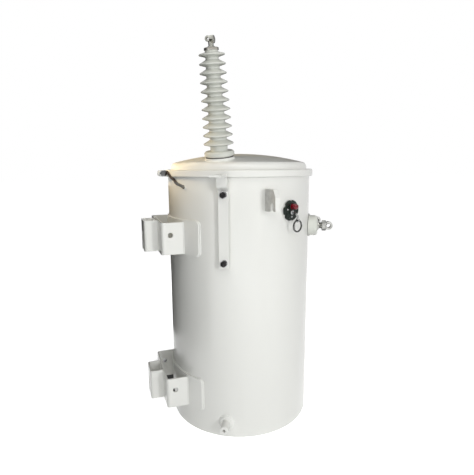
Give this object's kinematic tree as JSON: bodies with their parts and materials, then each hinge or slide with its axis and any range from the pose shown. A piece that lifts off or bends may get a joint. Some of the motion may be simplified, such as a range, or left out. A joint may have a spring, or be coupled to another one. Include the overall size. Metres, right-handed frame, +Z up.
{
  "type": "pole mounted distribution transformer",
  "caption": "Upright oil-filled tank with a domed banded cover, a tall shedded bushing, low-voltage side bushings, pole brackets, lifting lugs, arrester bar and a hanging pull ring.",
  "frame": {"origin": "on the tank's vertical axis, at the underside of its bottom plate", "axes": "+Z up, -X towards the pole, +X towards the middle low-voltage bushing"},
  "size_m": [0.751, 0.7294, 1.3968],
  "materials": {
    "tank_paint": "glossy light grey enamel",
    "porcelain": "light grey glazed porcelain",
    "gasket": "matt",
    "tinned_terminal": "tin-plated bronze",
    "zinc_hardware": "zinc-plated steel",
    "breaker_green": "dark green moulding, satin",
    "red_lens": "clear red moulded lens",
    "core_steel": "dark annealed core strip",
    "winding_paper": "kraft paper over the winding",
    "mineral_oil": "clear amber oil",
    "strap_braid": "weathered tinned copper braid"
  },
  "bodies": {
    "transformer": {"arrester_boss_lower": "tank_paint", "arrester_boss_upper": "tank_paint", "arrester_bracket": "tank_paint", "breaker_base": "tank_paint", "breaker_lever": "zinc_hardware", "breaker_plate": "breaker_green", "clamp_bolt": "zinc_hardware", "core_bearer_1": "core_steel", "core_bearer_2": "core_steel", "core_loop_1": "core_steel", "core_loop_2": "core_steel", "cover": "tank_paint", "cover_clamp_ring": "tank_paint", "cover_gasket": "gasket", "cover_ground_strap": "strap_braid", "ground_boss": "tank_paint", "hv_boss": "tank_paint", "hv_bushing": "porcelain", "hv_cap": "tinned_terminal", "hv_gasket": "gasket", "hv_terminal": "tinned_terminal", "lifting_lug_back": "tank_paint", "lifting_lug_front": "tank_paint", "lower_bracket_channel": "tank_paint", "lower_bracket_nose": "tank_paint", "lower_bracket_pad": "tank_paint", "lv_bushing_1": "porcelain", "lv_bushing_2": "porcelain", "lv_bushing_3": "porcelain", "lv_terminal_1": "tinned_terminal", "lv_terminal_2": "tinned_terminal", "lv_terminal_3": "tinned_terminal", "oil": "mineral_oil", "signal_lens": "red_lens", "strap_boss": "tank_paint", "tank_bottom": "tank_paint", "tank_shell": "tank_paint", "upper_bracket_channel": "tank_paint", "upper_bracket_nose": "tank_paint", "upper_bracket_pad": "tank_paint", "winding": "winding_paper"},
    "pull_ring": {"pull_ring": "zinc_hardware"}
  },
  "joints": [
    {"name": "pull_ring_swing", "type": "hinge", "parent": "transformer", "child": "pull_ring", "pos_m": [0.11453, -0.29075, 0.8015], "axis": [-0.9304, -0.3665, 0], "range_deg": [-20, 85]}
  ]
}
